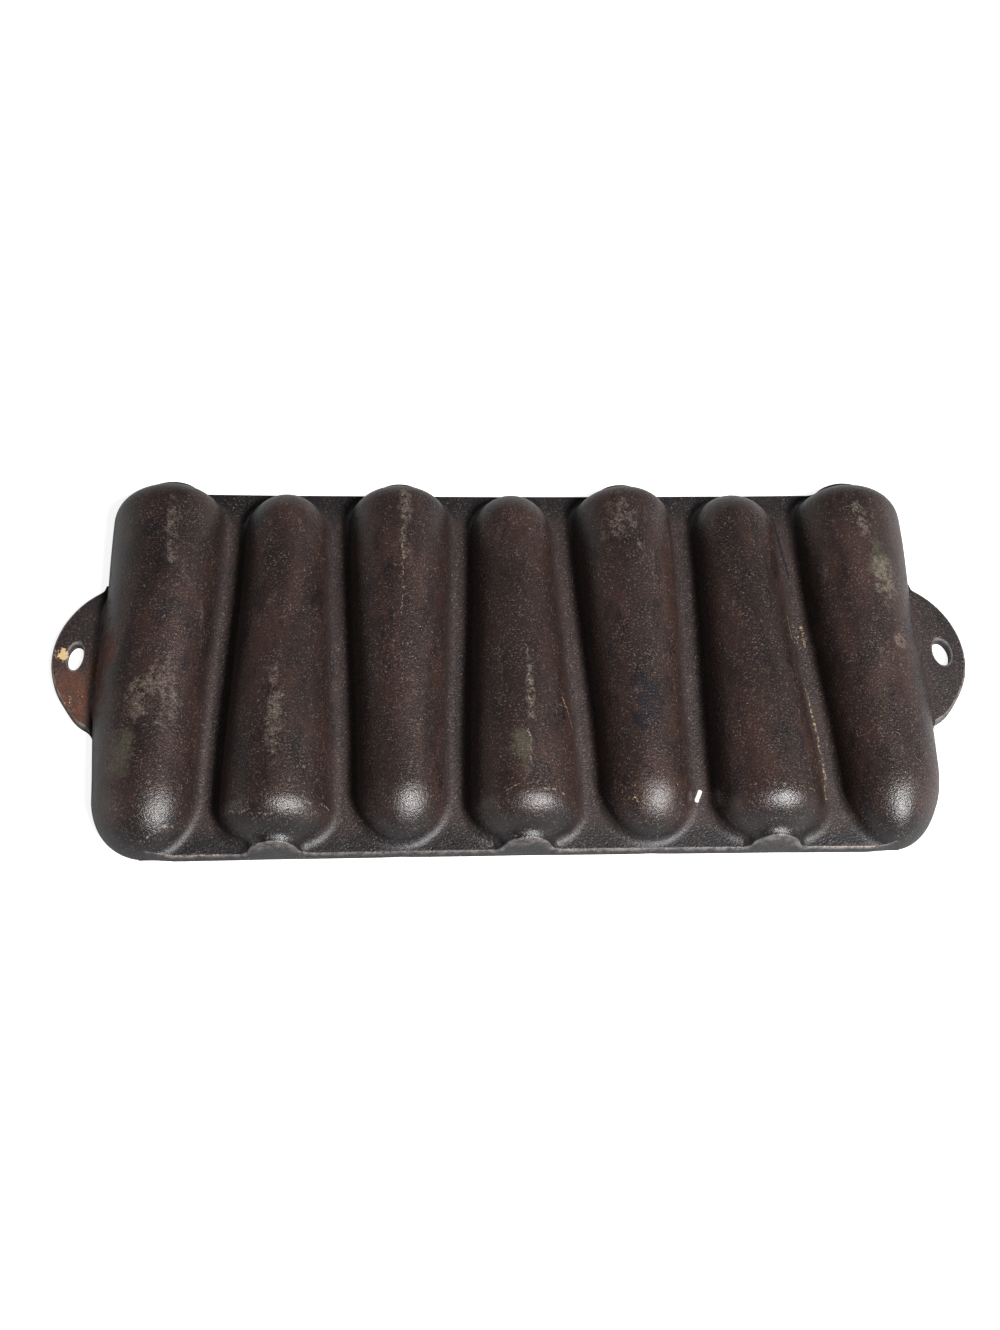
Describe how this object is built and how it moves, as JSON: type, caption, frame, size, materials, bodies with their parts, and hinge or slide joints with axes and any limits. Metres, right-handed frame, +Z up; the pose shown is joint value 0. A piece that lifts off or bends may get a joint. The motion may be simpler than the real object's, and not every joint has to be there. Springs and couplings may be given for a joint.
{
  "type": "corn stick pan",
  "caption": "Cast iron baking pan with ear-of-corn moulds laid head to tail in a row, a flat rim and a pierced hang ear at each end, lying rim down.",
  "frame": {"origin": "middle of the rim plane, at the bottom of the bounding box, with the pan lying rim down as in the picture", "axes": "+X along the pan from one hang ear to the other, +Y across it to the far edge, where the odd sticks have their butts, +Z up from the rim to the crowns of the sticks"},
  "size_m": [0.288, 0.131, 0.0198],
  "materials": {
    "seasoned_iron": "seasoned, semi-gloss, slightly grainy as cast"
  },
  "bodies": {
    "root": {"stick_mould_1": "seasoned_iron", "stick_mould_2": "seasoned_iron", "stick_mould_3": "seasoned_iron", "stick_mould_4": "seasoned_iron", "stick_mould_5": "seasoned_iron", "stick_mould_6": "seasoned_iron", "stick_mould_7": "seasoned_iron", "hang_ear_left": "seasoned_iron", "hang_ear_right": "seasoned_iron"}
  },
  "joints": []
}
